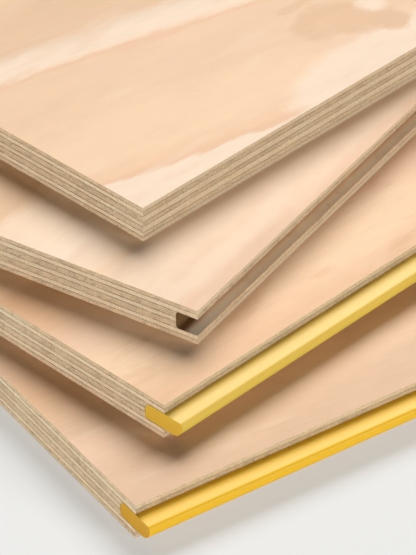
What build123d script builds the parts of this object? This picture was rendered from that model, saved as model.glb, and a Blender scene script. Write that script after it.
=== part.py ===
from build123d import *
import os

os.makedirs("parts", exist_ok=True)

# A stack of four flooring plywood sheets, fanned about one corner. The bottom sheet lies square to the frame,
# its long edges along X and its underside on Z = 0, and the origin is the middle of that underside.

# Size of a sheet, without its tongue
sheet_length = 2400.0
sheet_width = 1200.0

# Thickness of the veneers: the two faces, the three that run across the sheet and the two inner long ones
face_thickness = 2.4
cross_thickness = 2.5
long_thickness = 3.35

# Plastic tongue: how far it stands out of the edge, how far it reaches into the sheet and its gap there
tongue_reach = 11.2
tongue_hold = 12.5
tongue_fit = 0.2

# Rounding of the tongue's corners, as shares of its thickness
nose_top_share = 0.2
nose_bottom_share = 0.75
heel_top_share = 0.48
heel_bottom_share = 0.14

# Open groove for the next sheet's tongue: the gap left past the tongue's nose and the rounding of its bottom
groove_end_gap = 0.5
groove_corner_round = 1.7

# The lower lip under a tongue stands back from the upper one, so that joined sheets close at the top
lower_lip_setback = 0.5

# How each sheet is turned on the bottom one and how far its near corner is stepped in along X and Y
third_turn_degrees = 11.43
third_step_x = 36.4
third_step_y = 31.4
second_turn_degrees = 23.34
second_step_x = 73.5
second_step_y = 59.6
top_turn_degrees = 11.66
top_step_x = 82.9
top_step_y = 118.4

# The veneers from the underside up, each with the part of a long edge's joint that it makes
lay_up = [
    ("back_veneer", face_thickness, "lower lip"),
    ("lower_cross_veneer", cross_thickness, "lower lip"),
    ("lower_long_veneer", long_thickness, "groove"),
    ("centre_cross_veneer", cross_thickness, "groove"),
    ("upper_long_veneer", long_thickness, "groove"),
    ("upper_cross_veneer", cross_thickness, "upper lip"),
    ("face_veneer", face_thickness, "upper lip"),
]
sheet_thickness = sum(thickness for name, thickness, place in lay_up)
groove_height = sum(thickness for name, thickness, place in lay_up if place == "groove")
groove_floor = sum(thickness for name, thickness, place in lay_up if place == "lower lip")
tongue_thickness = groove_height - 2 * tongue_fit
nose_top_round = nose_top_share * tongue_thickness
nose_bottom_round = nose_bottom_share * tongue_thickness
heel_top_round = heel_top_share * tongue_thickness
heel_bottom_round = heel_bottom_share * tongue_thickness

# The sheets from the floor up: turn, corner steps, near long edge and far long edge
sheets = [
    ("bottom_sheet", 0.0, 0.0, 0.0, "tongue", "groove"),
    ("third_sheet", third_turn_degrees, third_step_x, third_step_y, "tongue", "groove"),
    ("second_sheet", second_turn_degrees, second_step_x, second_step_y, "groove", "tongue"),
    ("top_sheet", top_turn_degrees, top_step_x, top_step_y, "square", "square"),
]

# Sections are drawn with the sheet's near long edge at x = 0, its width along +x and its thickness along +y

# The open groove, a slot with a rounded bottom that takes a tongue's nose
with BuildSketch() as open_slot:
    with Locations((0, groove_floor)):
        Rectangle(
            2 * (tongue_reach + groove_end_gap), groove_height, align=(Align.CENTER, Align.MIN)
        )
    fillet(open_slot.vertices().group_by(Axis.X)[-1], groove_corner_round)

# The slot that a tongue is pressed in, with the shape of the tongue's heel
with BuildSketch() as tongue_slot:
    with Locations((0, groove_floor)):
        Rectangle(2 * tongue_hold, groove_height, align=(Align.CENTER, Align.MIN))
    slot_bottom_corner = tongue_slot.vertices().group_by(Axis.X)[-1].sort_by(Axis.Y)[0]
    fillet(slot_bottom_corner, heel_bottom_round + tongue_fit)
    slot_top_corner = tongue_slot.vertices().group_by(Axis.X)[-1].sort_by(Axis.Y)[-1]
    fillet(slot_top_corner, heel_top_round + tongue_fit)

# The tongue: a flat bar whose nose is cut back below and whose heel is cut back above
with BuildSketch() as tongue_section:
    with Locations((-tongue_reach, groove_floor + tongue_fit)):
        Rectangle(
            tongue_reach + tongue_hold - tongue_fit,
            tongue_thickness,
            align=(Align.MIN, Align.MIN),
        )
    nose_bottom_corner = tongue_section.vertices().group_by(Axis.X)[0].sort_by(Axis.Y)[0]
    fillet(nose_bottom_corner, nose_bottom_round)
    nose_top_corner = tongue_section.vertices().group_by(Axis.X)[0].sort_by(Axis.Y)[-1]
    fillet(nose_top_corner, nose_top_round)
    heel_bottom_corner = tongue_section.vertices().group_by(Axis.X)[-1].sort_by(Axis.Y)[0]
    fillet(heel_bottom_corner, heel_bottom_round)
    heel_top_corner = tongue_section.vertices().group_by(Axis.X)[-1].sort_by(Axis.Y)[-1]
    fillet(heel_top_corner, heel_top_round)

mid_width = Plane.YZ.offset(sheet_width / 2)
slots = {"tongue": tongue_slot.sketch, "groove": open_slot.sketch}
far_slots = {edge: mirror(slot, about=mid_width) for edge, slot in slots.items()}
far_tongue_section = mirror(tongue_section.sketch, about=mid_width)

for level, (sheet, turn, step_x, step_y, near_edge, far_edge) in enumerate(sheets):
    corner = (step_x - sheet_length / 2, step_y - sheet_width / 2, level * sheet_thickness)
    lying = Plane(Location(corner, (0, 0, turn)))
    short_edge = Plane(origin=lying.origin, x_dir=lying.y_dir, z_dir=lying.x_dir)

    underside = 0.0
    for veneer_name, thickness, place in lay_up:
        near_setback = lower_lip_setback if place == "lower lip" and near_edge == "tongue" else 0.0
        far_setback = lower_lip_setback if place == "lower lip" and far_edge == "tongue" else 0.0
        with BuildPart() as veneer:
            with BuildSketch(short_edge):
                with Locations((near_setback, underside)):
                    Rectangle(
                        sheet_width - near_setback - far_setback,
                        thickness,
                        align=(Align.MIN, Align.MIN),
                    )
                if place == "groove" and near_edge in slots:
                    add(slots[near_edge], mode=Mode.SUBTRACT)
                if place == "groove" and far_edge in slots:
                    add(far_slots[far_edge], mode=Mode.SUBTRACT)
            extrude(amount=sheet_length)
        veneer.part.label = sheet + "_" + veneer_name
        export_step(veneer.part, "parts/" + veneer.part.label + ".step")
        underside += thickness

    if "tongue" in (near_edge, far_edge):
        with BuildPart() as tongue:
            with BuildSketch(short_edge):
                add(tongue_section.sketch if near_edge == "tongue" else far_tongue_section)
            extrude(amount=sheet_length)
        tongue.part.label = sheet + "_tongue"
        export_step(tongue.part, "parts/" + tongue.part.label + ".step")
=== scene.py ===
import math

import bmesh
import bpy
from mathutils import Matrix, Vector


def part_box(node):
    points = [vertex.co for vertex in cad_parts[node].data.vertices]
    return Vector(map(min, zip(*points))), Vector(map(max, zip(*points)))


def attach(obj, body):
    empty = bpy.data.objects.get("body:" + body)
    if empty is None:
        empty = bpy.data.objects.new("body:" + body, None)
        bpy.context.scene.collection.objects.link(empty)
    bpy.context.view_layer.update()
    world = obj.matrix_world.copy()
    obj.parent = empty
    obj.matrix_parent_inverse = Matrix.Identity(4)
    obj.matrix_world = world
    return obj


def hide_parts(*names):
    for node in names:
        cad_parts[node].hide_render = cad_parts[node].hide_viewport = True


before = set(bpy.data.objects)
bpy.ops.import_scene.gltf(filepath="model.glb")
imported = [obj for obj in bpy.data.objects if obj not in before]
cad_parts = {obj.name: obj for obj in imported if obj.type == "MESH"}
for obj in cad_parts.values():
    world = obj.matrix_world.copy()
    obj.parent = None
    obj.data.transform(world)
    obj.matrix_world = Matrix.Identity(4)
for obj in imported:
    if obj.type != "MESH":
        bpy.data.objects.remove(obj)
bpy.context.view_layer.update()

# Patterns and sections are written in millimetres, the scene is in metres
MM = 0.001

# Veneers of a sheet from the underside up, and those whose grain runs across the sheet
VENEERS = ["back", "lower_cross", "lower_long", "centre_cross", "upper_long", "upper_cross", "face"]
CROSS_VENEERS = ["lower_cross", "centre_cross", "upper_cross"]


class Sheet:
    """One plywood sheet where it lies, read from its veneers."""

    def __init__(self, name):
        self.name = name
        corners = [vertex.co for vertex in self.node("face").data.vertices]
        near = min(corners, key=lambda corner: corner.x + corner.y)
        right = max(corners, key=lambda corner: corner.x - corner.y)
        left = min(corners, key=lambda corner: corner.x - corner.y)
        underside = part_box(name + "_back_veneer")[0].z
        self.corner = Vector((near.x, near.y, underside))
        self.length = (right - near).length / MM
        self.width = (left - near).length / MM
        self.turn = math.atan2(right.y - near.y, right.x - near.x)
        self.direction = Vector((math.cos(self.turn), math.sin(self.turn), 0))
        self.lying = Matrix.Translation(self.corner) @ Matrix.Rotation(self.turn, 4, "Z")

    def node(self, veneer):
        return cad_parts[self.name + "_" + veneer + "_veneer"]

    def reach(self, node):
        """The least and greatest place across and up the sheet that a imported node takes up."""
        own = self.lying.inverted()
        spots = [(own @ vertex.co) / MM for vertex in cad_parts[node].data.vertices]
        across, up = [spot.y for spot in spots], [spot.z for spot in spots]
        return min(across), max(across), min(up), max(up)


bottom_sheet = Sheet("bottom_sheet")
third_sheet = Sheet("third_sheet")
second_sheet = Sheet("second_sheet")
top_sheet = Sheet("top_sheet")

# Height of each veneer's underside over the sheet's, the sheet's thickness, and the same heights as
# shares of it
veneer_floors = {}
for veneer in VENEERS:
    low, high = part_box("bottom_sheet_" + veneer + "_veneer")
    veneer_floors[veneer] = low.z / MM
    thickness = high.z / MM
veneer_shares = [veneer_floors[veneer] / thickness for veneer in VENEERS]


def paint(red, green, blue):
    """A colour written as it shows on a screen, from 0 to 255."""
    shown = [part / 255 for part in (red, green, blue)]
    light = [p / 12.92 if p <= 0.04045 else ((p + 0.055) / 1.055) ** 2.4 for p in shown]
    return (*light, 1.0)


class Wire:
    """An outlet in a shader tree, so that shader maths is written as plain expressions."""

    def __init__(self, tree, socket=None):
        self.tree = tree
        self.socket = socket

    def node(self, kind, settings=None, inlets=None, outlet=0):
        """Adds a node, first its settings and then the values or wires of its sockets."""
        made = self.tree.nodes.new(kind if kind.startswith("Geometry") else "ShaderNode" + kind)
        for name, value in (settings or {}).items():
            if name == "stops":
                set_stops(made.color_ramp, value)
            elif name == "blend":
                made.color_ramp.interpolation = value
            else:
                setattr(made, name, value)
        for name, value in (inlets or {}).items():
            if isinstance(value, Wire):
                self.tree.links.new(value.socket, made.inputs[name])
            else:
                made.inputs[name].default_value = value
        return Wire(self.tree, made.outputs[outlet] if made.outputs else None)

    def maths(self, operation, *values):
        return self.node("Math", {"operation": operation}, dict(enumerate(values)))

    def __add__(self, other):
        return self.maths("ADD", self, other)

    def __sub__(self, other):
        return self.maths("SUBTRACT", self, other)

    def __rsub__(self, other):
        return self.maths("SUBTRACT", other, self)

    def __mul__(self, other):
        return self.maths("MULTIPLY", self, other)

    def __truediv__(self, other):
        return self.maths("DIVIDE", self, other)

    __radd__ = __add__
    __rmul__ = __mul__

    def __abs__(self):
        return self.maths("ABSOLUTE", self)

    def between(self, start, end):
        """0 up to the start, 1 from the end on and a smooth step between them."""
        settings = {"interpolation_type": "SMOOTHSTEP"}
        return self.node("MapRange", settings, {"Value": self, "From Min": start, "From Max": end})

    def ramp(self, stops, blend="LINEAR"):
        return self.node("ValToRGB", {"blend": blend, "stops": stops}, {"Fac": self})

    def vector(self, operation, *values, outlet=0):
        settings = {"operation": operation}
        return self.node("VectorMath", settings, dict(enumerate((self, *values))), outlet)

    def parts(self):
        """The three numbers of a vector."""
        split = self.node("SeparateXYZ", inlets={"Vector": self}).socket.node
        return [Wire(self.tree, outlet) for outlet in split.outputs]

    def mix(self, low, high):
        """The low colour where this mask is 0 and the high one where it is 1."""
        settings = {"data_type": "RGBA", "blend_type": "MIX"}
        return self.node("Mix", settings, {0: self, 6: low, 7: high}, 2)

    def shade(self, brightness):
        """This colour, made lighter or darker by a brightness around 1."""
        settings = {"data_type": "RGBA", "blend_type": "MULTIPLY"}
        return self.node("Mix", settings, {0: 1.0, 6: self, 7: brightness}, 2)

    def noise(self, size, seed, detail, roughness=0.5):
        """Noise from about -0.5 to 0.5, with spots this long, wide and high in millimetres."""
        steps = tuple(1 / part for part in size)
        shift = (7.3 * seed, 3.1 * seed, 1.7 * seed)
        spot = self.vector("MULTIPLY_ADD", steps, shift)
        inlets = {"Vector": spot, "Scale": 1.0, "Detail": detail, "Roughness": roughness}
        return self.node("TexNoise", {"noise_dimensions": "3D"}, inlets) - 0.5


def set_stops(ramp, stops):
    """Gives a colour ramp its stops, each a position and a colour or a grey."""
    elements = ramp.elements
    while len(elements) > 1:
        elements.remove(elements[-1])
    for number, (position, colour) in enumerate(stops):
        stop = elements[0] if number == 0 else elements.new(position)
        stop.position = position
        stop.color = colour if isinstance(colour, tuple) else (colour, colour, colour, 1.0)


UP = Vector((0, 0, 1))


def facing(normal, direction):
    """How squarely a surface faces this way or the opposite one, from 0 to 1."""
    return abs(normal.vector("DOT_PRODUCT", direction, outlet="Value"))


def start_material(name):
    """A new material with an empty tree, and a wire to build that tree from."""
    material = bpy.data.materials.new(name)
    material.use_nodes = True
    material.node_tree.nodes.clear()
    return material, Wire(material.node_tree)


def finish_surface(start, colour, height, roughness, specular):
    """Ends a material in a surface of this colour, with its height in millimetres."""
    inlets = {
        "Base Color": colour,
        "Roughness": roughness,
        "Specular IOR Level": specular,
        "Normal": start.node("Bump", inlets={"Height": height, "Distance": MM, "Strength": 1.0}),
    }
    surface = start.node("BsdfPrincipled", inlets=inlets)
    start.node("OutputMaterial", inlets={"Surface": surface})


def place_on(sheet, start):
    """The shaded point in millimetres along, across and up the sheet, from its near corner."""
    inlets = {
        "Vector": start.node("TexCoord", outlet="Object"),
        "Location": sheet.corner,
        "Rotation": (0, 0, sheet.turn),
        "Scale": (MM, MM, MM),
    }
    return start.node("Mapping", {"vector_type": "TEXTURE"}, inlets)


# Sawn wood as it shows on an edge: where the saw cut along the fibres and where it cut through them
SIDE_GRAIN = paint(226, 206, 174)
SIDE_GRAIN_WARM = paint(219, 195, 160)
END_GRAIN = paint(214, 190, 155)
END_GRAIN_DULL = paint(204, 178, 143)
GLUE = paint(98, 72, 36)

# The open groove: near-white wood on its flat faces, painted light at its mouth, then painted
# shade towards its bottom, darker still near the sheet's ends
GROOVE_PAINTED_LIGHT = paint(254, 242, 220)
GROOVE_PAINTED_SHADE = paint(214, 186, 150)
GROOVE_END_PAINTED_SHADE = paint(116, 86, 50)

# Where the groove's painted shade starts and where it is full, in millimetres: by the depth in
# the groove and, for the darker painted shade, also by the distance from the sheet's end
GROOVE_PAINTED_SHADE_DEPTHS = (3.0, 8.0)
GROOVE_END_PAINTED_SHADE_DEPTHS = (4.5, 8.5)
GROOVE_END_PAINTED_SHADE_ENDS = (22, 8)

# How light each veneer's edge is, from the underside up, the short edges' lowest veneers lighter as
# painted light, how light each sheet's edges are, lower sheets lighter as partly painted light, and
# how strong its glue lines
SHORT_EDGE_TONES_AND_PAINTED_LIGHT = [1.2, 1.13, 1.07, 1.0, 1.01, 1.03, 1.07]
LONG_EDGE_TONES = [0.94, 1.1, 1.0, 0.97, 0.93, 0.93, 0.92]
SHEET_EDGE_TONES_AND_PAINTED_LIGHT = {"bottom_sheet": 1.05, "third_sheet": 1.03, "second_sheet": 1.0, "top_sheet": 0.98}
GLUE_STRENGTHS = {"bottom_sheet": 0.8, "third_sheet": 0.88, "second_sheet": 0.8, "top_sheet": 1.0}

# Half the height of a glue line and of its dark middle, in millimetres
GLUE_HALF = 0.27
GLUE_DARK_HALF = 0.12


def by_veneer(level, values):
    """The value of the veneer at this height, a share of the sheet's thickness."""
    return level.ramp(list(zip(veneer_shares, values)), "CONSTANT")


def glue_lines(sheet, place, level, on_short_edge, seed):
    """A mask of the glue between the veneers, broken here and there, fainter on the long edges."""
    half, dark_half = GLUE_HALF / thickness, GLUE_DARK_HALF / thickness
    stops = []
    for share in veneer_shares[1:]:
        stops += [(share - half, 0.0), (share - dark_half, 1.0)]
        stops += [(share + dark_half, 1.0), (share + half, 0.0)]
    breaks = place.noise((5, 5, 40), seed + 4, 3, 0.65).between(-0.2, 0.1)
    strength = (breaks * 0.6 + 0.36) * (on_short_edge * 0.36 + 0.62) * GLUE_STRENGTHS[sheet.name]
    return level.ramp(stops) * strength


def side_grain(place, seed):
    """Brightness and height of wood cut along its fibres: streaks and dark flecks."""
    streaks = place.noise((11, 11, 0.3), seed + 2, 3, 0.6)
    flecks = place.noise((2.6, 2.6, 0.32), seed + 7, 2).between(0.13, 0.3)
    return 1.0 + streaks * 0.42 - flecks * 0.26, streaks * 0.1 - flecks * 0.08


def end_grain(place, seed):
    """Brightness and height of wood cut through its fibres: pores, leaning rings, lathe checks."""
    lean = place.parts()[2] * 0.75
    leaning = place.vector("ADD", place.node("CombineXYZ", inlets={0: lean, 1: lean}))
    pores = place.noise((0.55, 0.55, 0.45), seed + 3, 2, 0.7)
    rings = leaning.noise((2.4, 2.4, 9.0), seed + 9, 2)
    lathe_checks = abs(leaning.noise((1.1, 1.1, 5.5), seed + 5, 1)).between(0.045, 0.0)
    checks = lathe_checks * leaning.noise((5, 5, 3), seed + 8, 1).between(-0.08, 0.16)
    return 1.0 + pores * 0.64 + rings * 0.2 - checks * 0.28, pores * 0.14 - checks * 0.16


def routed(sheet, place, colour, upright, on_short_edge, patches):
    """The colour in the open groove, only on the long edges: painted light and painted shade."""
    along, across = place.parts()[:2]
    in_groove = 1 - on_short_edge
    inward = across.maths("MINIMUM", across, sheet.width - across)
    from_end = along.maths("MINIMUM", along, sheet.length - along) + patches * 8
    # Painted light: near-white wood on the groove's flat faces
    colour = (in_groove * (1 - upright)).mix(colour, GROOVE_PAINTED_LIGHT)
    # Painted shade deeper in the groove, darker still near the sheet's ends
    painted_shade = in_groove * inward.between(*GROOVE_PAINTED_SHADE_DEPTHS)
    end_painted_shade = in_groove * inward.between(*GROOVE_END_PAINTED_SHADE_DEPTHS) * from_end.between(*GROOVE_END_PAINTED_SHADE_ENDS)
    return end_painted_shade.mix(painted_shade.mix(colour, GROOVE_PAINTED_SHADE), GROOVE_END_PAINTED_SHADE)


def sawn_edges(sheet, place, normal, seed):
    """Colour and height of a sheet's sawn edges: its veneers, their grain and the glue between."""
    upright = 1 - facing(normal, UP).between(0.3, 0.7)
    on_short_edge = facing(normal, sheet.direction).between(0.4, 0.6)
    wander = place.noise((26, 26, 9), seed, 2) * 0.5 + place.noise((3, 3, 3), seed + 6, 1) * 0.16
    level = (place.parts()[2] + wander * upright) / thickness
    long_tone = by_veneer(level, LONG_EDGE_TONES)
    # Painted light: the short edges are lighter on their lowest veneers
    tone = long_tone + on_short_edge * (by_veneer(level, SHORT_EDGE_TONES_AND_PAINTED_LIGHT) - long_tone)
    in_cross = by_veneer(level, [float(veneer in CROSS_VENEERS) for veneer in VENEERS])
    shows_ends = abs(on_short_edge - in_cross) * upright

    side, side_height = side_grain(place, seed)
    end, end_height = end_grain(place, seed)
    grain = side + shows_ends * (end - side)
    height = shows_ends * end_height + (1 - shows_ends) * side_height

    patches = place.noise((16, 16, 2.6), seed + 1, 2)
    warmth = patches.between(-0.2, 0.2)
    side_wood = warmth.mix(SIDE_GRAIN, SIDE_GRAIN_WARM)
    end_wood = warmth.mix(END_GRAIN, END_GRAIN_DULL)
    wood = shows_ends.mix(side_wood, end_wood)
    # Painted light and painted shade in the open groove
    wood = routed(sheet, place, wood, upright, on_short_edge, patches)
    saw_marks = place.noise((0.8, 0.8, 26), seed + 10, 2) * upright
    torn = place.noise((0.9, 0.9, 0.6), seed + 11, 1) * upright
    marks = 1.0 + saw_marks * 0.2 + torn * 0.6 + patches * 0.16
    glue = glue_lines(sheet, place, level, on_short_edge, seed) * upright
    # Partly painted light: the edges of the lower sheets are lighter
    colour = glue.mix(wood.shade(tone * grain * marks * SHEET_EDGE_TONES_AND_PAINTED_LIGHT[sheet.name]), GLUE)
    return colour, height + saw_marks * 0.04 + torn * 0.05 - glue * 0.14


# Tones of the faces
PALE = paint(250, 224, 197)
COOL_PALE = paint(243, 218, 192)
CREAM = paint(249, 218, 187)
PEACH = paint(248, 211, 174)
WARM_PEACH = paint(243, 205, 169)
TAN = paint(234, 195, 158)
ROSY_TAN = paint(241, 202, 169)
ROSE = paint(240, 196, 159)
RED_TAN = paint(234, 193, 155)
HONEY = paint(235, 190, 149)
LIGHT_HONEY = paint(241, 198, 158)
DEEP_HONEY = paint(225, 178, 136)
BUFF = paint(230, 192, 158)
DEEP_BUFF = paint(222, 182, 147)

# The bands of a figure run to and fro over this many millimetres
BAND_RUN = 240

# Flames take the place of the bands between these distances from the near corner, in millimetres.
# They are this far apart before noise bends them, over a span of this many of their widths.
FLAMES_SET_IN = (320, 800)
FLAME_WIDTH = 140
FLAME_BEND = 14


class Figure:
    """How the growth rings show on a face veneer.

    Round the near corner they are bands, each starting at a distance across the sheet from its near
    edge, and patches, each with its centre, half size, blur and tone, all in millimetres. The slope
    is how far a band comes nearer the edge for each millimetre along. Farther off they are long
    flames, each from its pale early wood to its dark late wood. The stain is the tone of the dark
    clouds on both, and grain and dashes are how strong those are.
    """

    def __init__(self, seed, slope, bands, flames, stain, patches=(), grain=0.3, dashes=0.0):
        self.seed = seed
        self.edge_seed = seed + 20
        self.slope = slope
        self.bands = bands
        self.flames = flames
        self.stain = stain
        self.patches = patches
        self.grain = grain
        self.dashes = dashes

    def for_back(self):
        """The figure of the same sheet's back veneer, which has coarser grain."""
        seed = self.seed + 7
        return Figure(seed, -self.slope, self.bands, self.flames, self.stain, grain=1.0, dashes=1.0)


FIGURES = {
    "top_sheet": Figure(
        seed=1.0,
        slope=0.24,
        flames=(PALE, PEACH, ROSY_TAN),
        stain=ROSY_TAN,
        bands=[
            (0, PALE), (24.5, PALE), (27, ROSE), (44, PEACH), (75, PEACH), (90, WARM_PEACH),
            (126, WARM_PEACH), (129, ROSE), (132, CREAM), (136, PALE), (143, PALE),
            (147, COOL_PALE), (156, TAN), (190, TAN), (220, PEACH), (240, CREAM),
        ],
        patches=[
            ((175, 2), (66, 26), 9, PALE),
            ((180, 48), (21, 14), 5, RED_TAN),
            ((194, 36), (16, 11), 5, RED_TAN),
            ((204, 24), (9, 8), 6, RED_TAN),
            ((176, 69), (10, 3), 3, RED_TAN),
            ((207, 43), (7, 7), 7, PALE),
        ],
    ),
    "second_sheet": Figure(
        seed=2.0,
        slope=0.04,
        flames=(PALE, CREAM, ROSY_TAN),
        stain=ROSY_TAN,
        bands=[
            (0, ROSY_TAN), (5, ROSY_TAN), (11, CREAM), (48, CREAM), (53, PEACH), (58, CREAM),
            (75, PALE), (112, CREAM), (120, TAN), (160, PEACH), (200, CREAM), (240, PALE),
        ],
    ),
    "third_sheet": Figure(
        seed=3.0,
        slope=0.06,
        flames=(PEACH, LIGHT_HONEY, HONEY),
        stain=DEEP_HONEY,
        bands=[
            (0, LIGHT_HONEY), (12, LIGHT_HONEY), (28, PEACH), (46, PEACH), (62, ROSY_TAN),
            (84, HONEY), (98, DEEP_HONEY), (105, DEEP_HONEY), (112, HONEY), (160, LIGHT_HONEY),
            (200, PEACH), (240, HONEY),
        ],
        grain=0.75,
        dashes=1.0,
    ),
    "bottom_sheet": Figure(
        seed=4.0,
        slope=0.03,
        flames=(CREAM, ROSY_TAN, BUFF),
        stain=DEEP_BUFF,
        bands=[
            (0, BUFF), (20, BUFF), (38, ROSY_TAN), (51, ROSY_TAN), (56, BUFF), (90, HONEY),
            (130, ROSY_TAN), (150, BUFF), (175, DEEP_BUFF), (200, PEACH), (240, CREAM),
        ],
        grain=0.7,
        dashes=1.4,
    ),
}


def banded(distance, figure):
    """The tone of the band at this distance; past the last band they run back again."""
    wrapped = distance.maths("PINGPONG", distance, BAND_RUN) / BAND_RUN
    return wrapped.ramp([(start / BAND_RUN, tone) for start, tone in figure.bands])


def flamed(place, frayed_across, figure):
    """The tone of the flames, nested long tongues with a sharp dark side."""
    bend = place.noise((2600, 330, 900), figure.seed + 26, 2) * FLAME_BEND
    rising = bend + frayed_across / FLAME_WIDTH
    flame = rising.maths("FRACT", rising)
    early, middle, late = figure.flames
    return flame.ramp([(0, early), (0.4, middle), (0.88, late), (1, early)])


def patched(place, colour, figure):
    """The colour with the figure's patches on it, each an oval with a ragged outline."""
    lobes = place.noise((12, 7, 10), figure.seed + 22, 5, 0.7) * 12
    for centre, half, blur, tone in figure.patches:
        spot = place.vector("SUBTRACT", (*centre, thickness))
        spot = spot.vector("MULTIPLY", (1 / half[0], 1 / half[1], 0))
        distance = spot.vector("LENGTH", outlet="Value") + lobes / half[1]
        edge = blur / min(half)
        colour = distance.between(1.0 + edge / 2, 1.0 - edge / 2).mix(colour, tone)
    return colour


def stained(place, colour, figure):
    """The colour with dark stains and pale clearings."""
    stain = place.noise((46, 17, 40), figure.seed + 19, 3, 0.6).between(0.02, 0.24)
    clearing = place.noise((60, 14, 40), figure.seed + 20, 2).between(0.08, 0.28)
    return (clearing * 0.3).mix((stain * 0.5).mix(colour, figure.stain), PALE)


def face_grain(place, grown, waver, figure):
    """Brightness and height of a face's grain: clouds, rings, fibres, dark dashes and pores."""
    seed = figure.seed
    along = place.parts()[0]
    flow = place.node("CombineXYZ", inlets={0: along, 1: grown + waver})
    straight = place.node("CombineXYZ", inlets={0: along, 1: grown + waver * 0.2})
    mottle = place.noise((70, 26, 40), seed + 12, 3)
    clouds = place.noise((26, 14, 20), seed + 23, 4, 0.6)
    rings = flow.noise((420, 5.5, 1), seed + 17, 2)
    fibres = straight.noise((60, 0.8, 1), seed + 13, 3) * figure.grain
    fine = straight.noise((9, 0.28, 1), seed + 14, 2) * figure.grain
    grain_ground = place.noise((55, 16, 40), seed + 25, 2).between(-0.12, 0.2)
    grain = straight.noise((26, 0.8, 1), seed + 21, 3, 0.6).between(-0.02, 0.3)
    grain = grain * grain_ground * figure.grain
    dash_ground = place.noise((30, 13, 50), seed + 16, 1).between(0.0, 0.16)
    dashes = place.noise((5, 0.5, 0.6), seed + 15, 1).between(0.18, 0.32)
    dashes = dashes * dash_ground * figure.dashes
    pores = place.noise((1.6, 0.22, 0.6), seed + 18, 1).between(0.2, 0.36)
    brightness = 1.0 + figure.grain * 0.03 + mottle * 0.1 + clouds * 0.09 + rings * 0.06
    brightness = brightness + fibres * 0.08 + fine * 0.08
    brightness = brightness - grain * 0.15 - dashes * 0.24 - pores * 0.07
    height = rings * 0.03 + fibres * 0.06 + fine * 0.05
    height = height - grain * 0.05 - dashes * 0.08 - pores * 0.05
    return brightness, height


def face_figure(place, figure):
    """Colour and height of a veneer's face."""
    seed = figure.seed
    along, across = place.parts()[:2]
    far_off = place.vector("LENGTH", outlet="Value").between(*FLAMES_SET_IN)
    far_sway = place.noise((1700, 260, 400), seed + 24, 2) * far_off * 340
    sway = place.noise((520, 150, 400), seed, 1) * 12 + far_sway
    waver = place.noise((30, 9, 30), seed + 10, 2) * 12
    fray = place.noise((7, 1.6, 6), seed + 11, 3) * 3.2
    grown = across + along * figure.slope + sway

    near_colour = banded(grown + waver + fray, figure)
    far_colour = flamed(place, across + waver * 1.6 + fray * 2, figure)
    colour = patched(place, far_off.mix(near_colour, far_colour), figure)
    brightness, height = face_grain(place, grown, waver, figure)
    return stained(place, colour, figure).shade(brightness), height


def face_material(sheet, name, figure):
    """A face or back veneer: its figure on the flat, sawn wood on its edges."""
    material, start = start_material(name)
    place = place_on(sheet, start)
    normal = start.node("TexCoord", outlet="Normal")
    edge_colour, edge_height = sawn_edges(sheet, place, normal, figure.edge_seed)
    face_colour, face_height = face_figure(place, figure)
    on_face = facing(normal, UP).between(0.4, 0.6)
    colour = on_face.mix(edge_colour, face_colour)
    height = edge_height + on_face * (face_height - edge_height)
    finish_surface(start, colour, height, roughness=0.66 - on_face * 0.04, specular=0.16)
    return material


def core_material(sheet, name, seed):
    """The inner veneers, which show only where the sheet was sawn or routed."""
    material, start = start_material(name)
    place = place_on(sheet, start)
    normal = start.node("TexCoord", outlet="Normal")
    colour, height = sawn_edges(sheet, place, normal, seed)
    finish_surface(start, colour, height, roughness=0.68, specular=0.14)
    return material


# Where a tongue's plastic starts to change its tone and where it has changed, in millimetres. A
# painted sheen, a paler strip broken by scuffs, fades by the distance from the middle of a strip
# that lies this far out of the sheet's edge. The nose has its own tone by the distance out of the
# edge or by the height over the underside.
SHEEN_MIDDLE = 6.0
SHEEN_STRIP = (5.6, 2.4)
NOSE_OUTWARD = (8.4, 11.6)
NOSE_HEIGHTS = (12.8, 11.6)


def plastic_material(sheet, name, tone, scuffed_sheen_tone, nose_tone, sawn_tone):
    """A tongue's satin plastic, drawn lengthwise, with a painted sheen on top and a duller sawn
    end.
    """
    material, start = start_material(name)
    place = place_on(sheet, start)
    normal = start.node("TexCoord", outlet="Normal")
    across, up = place.parts()[1:]
    on_end = facing(normal, sheet.direction).between(0.6, 0.8)
    draw_lines = place.noise((300, 0.7, 0.7), 31, 2)
    ripple = place.noise((40, 6, 6), 32, 2)
    saw_marks = place.noise((1, 0.35, 4), 33, 2)
    scuffs = place.noise((16, 2.2, 2), 34, 3)
    outward = abs(across - sheet.width / 2) - sheet.width / 2
    # Painted sheen: a paler strip along the middle of the top, broken by scuffs
    scuffed_sheen = abs(outward - SHEEN_MIDDLE).between(*SHEEN_STRIP) * (0.85 + scuffs * 0.9)
    on_nose = outward.between(*NOSE_OUTWARD).maths("MAXIMUM", up.between(*NOSE_HEIGHTS))
    drawn = on_nose.mix(scuffed_sheen.mix(tone, scuffed_sheen_tone), nose_tone)
    brightness = 1.0 + draw_lines * 0.04 + ripple * 0.06 + on_end * saw_marks * 0.16
    colour = on_end.mix(drawn, sawn_tone).shade(brightness)
    height = draw_lines * 0.012 + ripple * 0.03 + on_end * saw_marks * 0.08
    roughness = 0.44 + on_end * 0.2 + scuffs * 0.1
    finish_surface(start, colour, height, roughness=roughness, specular=0.24)
    return material


def dress(node, material):
    """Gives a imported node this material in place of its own."""
    node.data.materials.clear()
    node.data.materials.append(material)


core_materials = {}
for sheet in (bottom_sheet, third_sheet, second_sheet, top_sheet):
    figure = FIGURES[sheet.name]
    core = core_material(sheet, sheet.name + " core veneers", figure.edge_seed)
    core_materials[sheet.name] = core
    for veneer in VENEERS[1:-1]:
        dress(sheet.node(veneer), core)
    dress(sheet.node("face"), face_material(sheet, sheet.name + " face veneer", figure))
    dress(sheet.node("back"), face_material(sheet, sheet.name + " back veneer", figure.for_back()))


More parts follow.
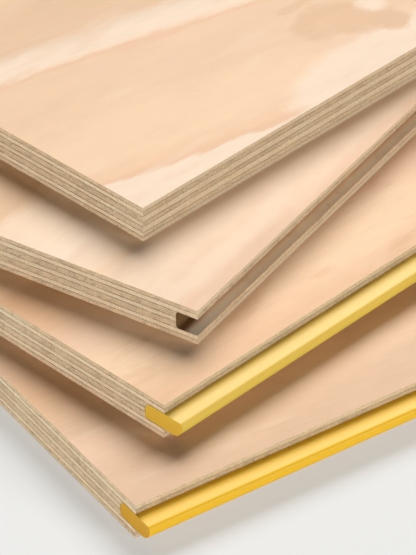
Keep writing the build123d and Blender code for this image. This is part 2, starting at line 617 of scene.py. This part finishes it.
def sweep_tree():
    """Geometry nodes that round a section's corners and carry it along the sheet, ends closed."""
    tree = bpy.data.node_groups.new("swept section", "GeometryNodeTree")
    face = tree.interface
    face.new_socket(name="Section", in_out="INPUT", socket_type="NodeSocketGeometry")
    face.new_socket(name="Length", in_out="INPUT", socket_type="NodeSocketFloat")
    face.new_socket(name="Round Steps", in_out="INPUT", socket_type="NodeSocketInt")
    face.new_socket(name="Material", in_out="INPUT", socket_type="NodeSocketMaterial")
    face.new_socket(name="Swept", in_out="OUTPUT", socket_type="NodeSocketGeometry")
    given = tree.nodes.new("NodeGroupInput")
    section, length, steps, material = [Wire(tree, outlet) for outlet in given.outputs[:4]]

    outline = section.node("GeometryNodeMeshToCurve", inlets={"Mesh": section})
    settings = {"data_type": "FLOAT"}
    corner_round = section.node("GeometryNodeInputNamedAttribute", settings, {"Name": "round"})
    inlets = {"Curve": outline, "Count": steps, "Radius": corner_round}
    rounded = section.node("GeometryNodeFilletCurve", {"mode": "POLY"}, inlets)
    path_end = section.node("CombineXYZ", inlets={0: length})
    path = section.node("GeometryNodeCurvePrimitiveLine", inlets={"End": path_end})
    inlets = {"Curve": path, "Profile Curve": rounded, "Fill Caps": True}
    swept = section.node("GeometryNodeCurveToMesh", inlets=inlets)
    realized = section.node("GeometryNodeRealizeInstances", inlets={"Geometry": swept})
    inlets = {"Geometry": realized, "Material": material}
    dressed = section.node("GeometryNodeSetMaterial", inlets=inlets)
    result = tree.nodes.new("NodeGroupOutput")
    tree.links.new(dressed.socket, result.inputs["Swept"])
    return tree


SWEEP = sweep_tree()

# Steps in each rounded corner, and the turn above which an edge of a swept piece stays sharp
ROUND_STEPS = 14
SHARP_TURN = math.radians(35)


def section_mesh(name, corners):
    """A section as a closed outline, each corner with its rounding."""
    section = bpy.data.meshes.new(name)
    count = len(corners)
    spots = [(-across * MM, -up * MM, 0) for across, up, rounding in corners]
    edges = [(number, (number + 1) % count) for number in range(count)]
    section.from_pydata(spots, edges, [])
    rounds = section.attributes.new("round", "FLOAT", "POINT")
    rounds.data.foreach_set("value", [rounding * MM for across, up, rounding in corners])
    return section


def swept_piece(name, sheet, corners, material, replaced):
    """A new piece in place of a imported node: a section across the sheet, swept along all of it.

    Each corner of the section is its place across and up the sheet and its rounding in millimetres.
    """
    section = section_mesh(name + " section", corners)
    piece = bpy.data.objects.new(name, section)
    bpy.context.scene.collection.objects.link(piece)

    sweep = piece.modifiers.new("sweep", "NODES")
    sweep.node_group = SWEEP
    values = {"Length": sheet.length * MM, "Round Steps": ROUND_STEPS, "Material": material}
    for socket in SWEEP.interface.items_tree:
        if socket.in_out == "INPUT" and socket.name in values:
            sweep[socket.identifier] = values[socket.name]
    depsgraph = bpy.context.evaluated_depsgraph_get()
    swept = bpy.data.meshes.new_from_object(piece.evaluated_get(depsgraph))
    piece.modifiers.remove(sweep)
    swept.transform(sheet.lying)
    face_outwards(swept)
    swept.materials.clear()
    swept.materials.append(material)
    swept.shade_smooth()
    swept.set_sharp_from_angle(angle=SHARP_TURN)
    piece.data = swept
    bpy.data.meshes.remove(section)
    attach(piece, "root")
    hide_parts(replaced)


def face_outwards(mesh):
    """Turns the faces of a closed mesh outwards."""
    shape = bmesh.new()
    shape.from_mesh(mesh)
    bmesh.ops.recalc_face_normals(shape, faces=shape.faces)
    if shape.calc_volume(signed=True) < 0:
        bmesh.ops.reverse_faces(shape, faces=shape.faces)
    shape.to_mesh(mesh)
    shape.free()


# Rounding of the tongue's corners and of the open groove's bottom, and the tongue's gap in its
# slot, in millimetres
NOSE_TOP_ROUND = 1.76
NOSE_BOTTOM_ROUND = 6.6
HEEL_TOP_ROUND = 4.22
HEEL_BOTTOM_ROUND = 1.23
GROOVE_ROUND = 1.7
TONGUE_FIT = 0.2


def slot_outline(depth, low_round, high_round):
    """The rounded bottom of a slot in the middle veneers, from its lower side up in small steps.

    Each step is its depth from the sheet's edge and its height over the sheet's underside.
    """
    low, high = veneer_floors["lower_long"], veneer_floors["upper_cross"]
    lower, upper = [], []
    for step in range(ROUND_STEPS + 1):
        turn = math.radians(90) * step / ROUND_STEPS
        short_of_sine, short_of_cosine = 1 - math.sin(turn), 1 - math.cos(turn)
        lower.append((depth - low_round * short_of_sine, low + low_round * short_of_cosine))
        upper.append((depth - high_round * short_of_cosine, high - high_round * short_of_sine))
    return lower + upper


def depth_at(outline, height):
    """How deep a slot is at this height."""
    height = min(max(height, outline[0][1]), outline[-1][1])
    for (start, start_up), (end, end_up) in zip(outline, outline[1:]):
        if start_up <= height <= end_up and end_up > start_up:
            return start + (end - start) * (height - start_up) / (end_up - start_up)


# Steps of a slot nearer than this to a veneer's own side are left out of its edge, in millimetres
TOO_NEAR = 0.01


def edge_profile(outline, low, high):
    """The edge of one veneer along a slot, from its underside up."""
    between = [spot for spot in outline if low + TOO_NEAR < spot[1] < high - TOO_NEAR]
    return [(depth_at(outline, low), low), *between, (depth_at(outline, high), high)]


def add_fine_edges(sheet, tongue_on_near_edge, plastic, plastic_slot):
    """The tongue, and the long veneers round it and round the open groove, with fine rounding."""
    tongue = sheet.name + "_tongue"
    across_low, across_high, low, high = sheet.reach(tongue)
    near_end, far_end = sheet.reach(sheet.name + "_centre_cross_veneer")[:2]
    held_depth, open_depth = near_end, sheet.width - far_end
    if not tongue_on_near_edge:
        held_depth, open_depth = open_depth, held_depth
        across_low, across_high = sheet.width - across_high, sheet.width - across_low
    tongue_section = [
        (across_low, low, NOSE_BOTTOM_ROUND),
        (across_high, low, HEEL_BOTTOM_ROUND),
        (across_high, high, HEEL_TOP_ROUND),
        (across_low, high, NOSE_TOP_ROUND),
    ]
    held_rounds = HEEL_BOTTOM_ROUND + TONGUE_FIT, HEEL_TOP_ROUND + TONGUE_FIT
    held_slot = slot_outline(held_depth, *held_rounds)
    open_slot = slot_outline(open_depth, GROOVE_ROUND, GROOVE_ROUND)

    sections = {tongue: tongue_section}
    for veneer in ("lower_long", "upper_long"):
        node = sheet.name + "_" + veneer + "_veneer"
        floor, ceiling = sheet.reach(node)[2:]
        held = edge_profile(held_slot, floor, ceiling)
        opened = edge_profile(open_slot, floor, ceiling)
        sections[node] = [(depth, up, 0) for depth, up in held]
        sections[node] += [(sheet.width - depth, up, 0) for depth, up in opened[::-1]]

    for node, section in sections.items():
        if not tongue_on_near_edge:
            section = [(sheet.width - across, up, rounding) for across, up, rounding in section]
        wood = core_materials[sheet.name]
        material, slot = (plastic, plastic_slot) if node == tongue else (wood, "long_wood")
        swept_piece(node + "_fine", sheet, section, material, node)


# The plastics as drawn, in the painted sheen, on the nose and where sawn
LEMON = paint(248, 197, 84), paint(248, 194, 102), paint(227, 203, 83), paint(222, 178, 58)
GOLDEN = paint(250, 196, 30), paint(250, 198, 40), paint(243, 189, 26), paint(212, 158, 42)
yellow_plastic = plastic_material(third_sheet, "lemon yellow plastic", *LEMON)
hidden_plastic = plastic_material(second_sheet, "lemon yellow plastic, hidden tongue", *LEMON)
golden_plastic = plastic_material(bottom_sheet, "golden yellow plastic", *GOLDEN)
add_fine_edges(bottom_sheet, True, golden_plastic, "golden_tongue")
add_fine_edges(third_sheet, True, yellow_plastic, "yellow_tongue")
add_fine_edges(second_sheet, False, hidden_plastic, "yellow_tongue")

# A plain pale studio floor, a hair under the stack: half its size and the gap in metres, the tone
# that it has in common with the backdrop, and the tone of its own surface
FLOOR_HALF = 120.0
FLOOR_GAP = 0.0002
FLOOR_TONE = paint(239, 237, 233)
FLOOR_SURFACE = paint(236, 238, 238)

# How much of the floor as it is seen is its plain tone, which keeps the stack's shadow soft
FLOOR_PLAINNESS = 0.54


def as_background(start):
    """1 for rays that show the background: the camera's, mirrored ones and those through glass."""
    seen = start.node("LightPath", outlet="Is Camera Ray")
    mirrored = start.node("LightPath", outlet="Is Glossy Ray")
    through = start.node("LightPath", outlet="Is Transmission Ray")
    return seen.maths("MAXIMUM", seen.maths("MAXIMUM", seen, mirrored), through)


def make_floor():
    signs = [(-1, -1), (1, -1), (1, 1), (-1, 1)]
    corners = [(x * FLOOR_HALF, y * FLOOR_HALF, -FLOOR_GAP) for x, y in signs]
    mesh = bpy.data.meshes.new("studio_floor")
    mesh.from_pydata(corners, [], [(0, 1, 2, 3)])
    floor = bpy.data.objects.new("studio_floor", mesh)
    bpy.context.scene.collection.objects.link(floor)
    material, start = start_material("pale floor")
    inlets = {"Base Color": FLOOR_SURFACE, "Roughness": 0.8, "Specular IOR Level": 0.1}
    surface = start.node("BsdfPrincipled", inlets=inlets)
    plain = start.node("Emission", inlets={"Color": FLOOR_TONE, "Strength": 1.0})
    plainness = as_background(start) * FLOOR_PLAINNESS
    shown = start.node("MixShader", inlets={0: plainness, 1: surface, 2: plain})
    start.node("OutputMaterial", inlets={"Surface": shown})
    mesh.materials.append(material)


# Bearings are in degrees from +X, heights in degrees over the floor and spreads in degrees across
# the light. A level of 1 shows a surface square to the light as it is painted.
SIGHT_BEARING = 55.61
KEY_LIGHT = {"bearing": SIGHT_BEARING - 11.0, "height": 44.0, "spread": 36.0, "level": 1.19}
LEFT_LIGHT = {"bearing": 192.0, "height": 2.2, "spread": 4.4, "level": 0.58}
RIGHT_LIGHT = {"bearing": 296.0, "height": 10.0, "spread": 18.0, "level": 0.54}
SKY_LEVEL = 0.012


def pointing(bearing, height):
    """The direction with this bearing and height."""
    turn, rise = math.radians(bearing), math.radians(height)
    flat = math.cos(rise)
    return Vector((math.cos(turn) * flat, math.sin(turn) * flat, math.sin(rise)))


def make_sun(name, bearing, height, spread, level):
    """A broad soft light from far away; its level is what a surface square to it gets."""
    lamp = bpy.data.lights.new(name, "SUN")
    lamp.energy = level * math.pi
    lamp.angle = math.radians(spread)
    sun = bpy.data.objects.new(name, lamp)
    sun.rotation_euler = pointing(bearing, height).to_track_quat("Z", "Y").to_euler()
    bpy.context.scene.collection.objects.link(sun)


def make_world():
    world = bpy.data.worlds.new("studio")
    world.use_nodes = True
    world.node_tree.nodes.clear()
    start = Wire(world.node_tree)
    ambient = start.node("Background", inlets={"Color": (1, 1, 1, 1), "Strength": SKY_LEVEL})
    backdrop = start.node("Background", inlets={"Color": FLOOR_TONE, "Strength": 1.0})
    both = start.node("MixShader", inlets={0: as_background(start), 1: ambient, 2: backdrop})
    start.node("OutputWorld", inlets={"Surface": both})
    bpy.context.scene.world = world


# The camera looks down on the near corners by this many degrees, from this many metres off. It aims
# at a point on the floor, given in metres from the bottom sheet's near corner.
SIGHT_DROP = 36.56
SIGHT_DISTANCE = 1.6013
AIM_POINT = (0.1353, 0.1415, 0.0)

# The long lens in pixels of the picture, which is taller than wide, so that the sensor's size in
# millimetres runs along its height
FOCAL_PIXELS = 3281.0
FRAME_HEIGHT = 555
SENSOR = 36.0


def make_camera():
    lens = bpy.data.cameras.new("camera")
    lens.sensor_width = SENSOR
    lens.lens = FOCAL_PIXELS * SENSOR / FRAME_HEIGHT
    lens.clip_start = 0.05
    lens.clip_end = 500.0
    camera = bpy.data.objects.new("camera", lens)
    back = pointing(SIGHT_BEARING + 180.0, SIGHT_DROP)
    aim = bottom_sheet.corner + Vector(AIM_POINT)
    camera.location = aim + back * SIGHT_DISTANCE
    camera.rotation_euler = back.to_track_quat("Z", "Y").to_euler()
    bpy.context.scene.collection.objects.link(camera)
    bpy.context.scene.camera = camera


make_floor()
make_world()
make_sun("key_light", **KEY_LIGHT)
make_sun("left_light", **LEFT_LIGHT)
make_sun("right_light", **RIGHT_LIGHT)
make_camera()
bpy.context.scene.view_settings.view_transform = "Standard"
